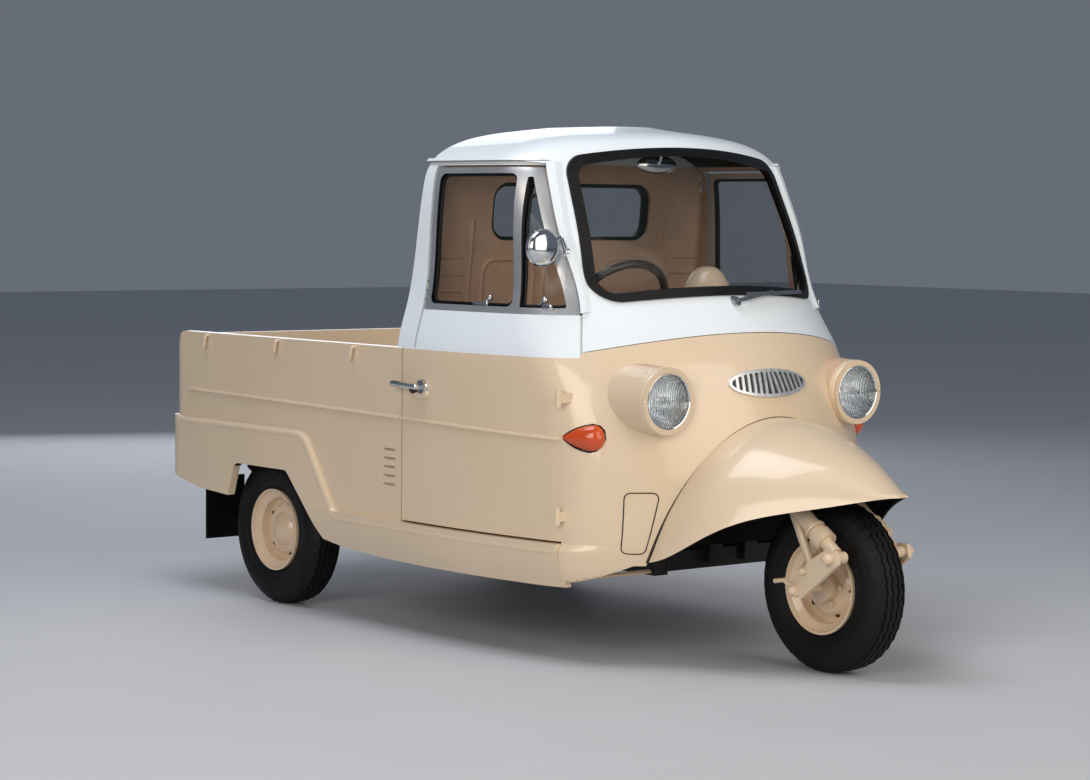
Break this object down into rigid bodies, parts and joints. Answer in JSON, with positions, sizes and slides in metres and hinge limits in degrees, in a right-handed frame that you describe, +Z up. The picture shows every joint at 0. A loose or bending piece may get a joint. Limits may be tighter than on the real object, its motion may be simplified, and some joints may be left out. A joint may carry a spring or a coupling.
{
  "type": "three-wheeled closed-cab light truck",
  "caption": "Small light truck on one steered front wheel and two rear wheels, with a closed two-tone cab, side-hinged doors and a low drop-gate load bed.",
  "frame": {"origin": "ground under the middle of the vehicle's footprint", "axes": "+X forward, +Y to the vehicle's left, +Z up"},
  "size_m": [2.83, 1.344, 1.546],
  "materials": {
    "cream_paint": "satin enamel",
    "white_paint": "gloss enamel",
    "tan_trim": "satin enamel",
    "screen_glass": "clear",
    "black_rubber": "matt",
    "tyre_rubber": "matt",
    "red_vinyl": "satin vinyl",
    "window_aluminium": "brushed",
    "bright_chrome": "polished",
    "lamp_glass": "clear",
    "reflector": "polished",
    "orange_lens": "ribbed gloss",
    "red_lens": "ribbed gloss",
    "chassis_black": "satin",
    "engine_iron": "cast",
    "wheel_paint": "satin enamel",
    "black_plastic": "gloss",
    "wiper_steel": "satin"
  },
  "bodies": {
    "cab_and_bed": {"bed_floor": "cream_paint", "bulkhead": "cream_paint", "cab_shell": "white_paint", "chassis_frame": "chassis_black", "dashboard": "tan_trim", "door_hinges": "cream_paint", "engine_block": "engine_iron", "floor_and_firewall": "tan_trim", "front_fender": "cream_paint", "grille": "bright_chrome", "headlamp_bowls": "reflector", "headlamp_lenses": "lamp_glass", "leaf_springs": "chassis_black", "mirror": "bright_chrome", "mud_flaps": "black_rubber", "nose_panel": "cream_paint", "rear_axle": "chassis_black", "rear_valance": "cream_paint", "roof": "white_paint", "screen_glass": "screen_glass", "screen_rubber": "black_rubber", "seat_back": "red_vinyl", "seat_cushion": "red_vinyl", "side_panel_left": "cream_paint", "side_panel_right": "cream_paint", "silencer": "chassis_black", "steering_head": "chassis_black", "tail_lamps": "red_lens", "turn_signals": "orange_lens", "wiper": "wiper_steel"},
    "right_door": {"door_right": "cream_paint", "window_frame_right": "window_aluminium", "window_glass_right": "screen_glass", "door_handle_right": "bright_chrome"},
    "left_door": {"door_left": "cream_paint", "window_frame_left": "window_aluminium", "window_glass_left": "screen_glass", "door_handle_left": "bright_chrome"},
    "drop_gate": {"tailgate": "cream_paint"},
    "front_fork": {"fork": "cream_paint", "front_links": "cream_paint", "front_struts": "cream_paint"},
    "front_wheel": {"front_tyre": "tyre_rubber", "front_rim": "wheel_paint"},
    "rear_right_wheel": {"rear_tyre_right": "tyre_rubber", "rear_rim_right": "wheel_paint"},
    "rear_left_wheel": {"rear_tyre_left": "tyre_rubber", "rear_rim_left": "wheel_paint"},
    "hand_wheel": {"steering_wheel": "black_plastic"}
  },
  "joints": [
    {"name": "right_door_hinge", "type": "hinge", "parent": "cab_and_bed", "child": "right_door", "pos_m": [0.645, -0.594, 0.6], "axis": [0, 0, 1], "range_deg": [0, 65]},
    {"name": "left_door_hinge", "type": "hinge", "parent": "cab_and_bed", "child": "left_door", "pos_m": [0.645, 0.594, 0.6], "axis": [0, 0, -1], "range_deg": [0, 65]},
    {"name": "tailgate_hinge", "type": "hinge", "parent": "cab_and_bed", "child": "drop_gate", "pos_m": [-1.392, 0, 0.596], "axis": [0, -1, 0], "range_deg": [0, 90]},
    {"name": "steering", "type": "hinge", "parent": "cab_and_bed", "child": "front_fork", "pos_m": [1.154, 0, 0.243], "axis": [-0.2588, 0, 0.9659], "range_deg": [-38, 38]},
    {"name": "hand_wheel_turn", "type": "hinge", "parent": "cab_and_bed", "child": "hand_wheel", "pos_m": [0.478, -0.258, 0.988], "axis": [-0.8202, 0, 0.5721], "range_deg": [-345, 345]},
    {"name": "front_wheel_spin", "type": "hinge", "parent": "front_fork", "child": "front_wheel", "pos_m": [1.15, 0, 0.243], "axis": [0, 1, 0], "continuous": true},
    {"name": "rear_right_wheel_spin", "type": "hinge", "parent": "cab_and_bed", "child": "rear_right_wheel", "pos_m": [-0.847, -0.515, 0.243], "axis": [0, 1, 0], "continuous": true},
    {"name": "rear_left_wheel_spin", "type": "hinge", "parent": "cab_and_bed", "child": "rear_left_wheel", "pos_m": [-0.847, 0.515, 0.243], "axis": [0, 1, 0], "continuous": true}
  ],
  "couplings": [
    {"joint": "hand_wheel_turn", "follows": "steering", "ratio": 9}
  ]
}
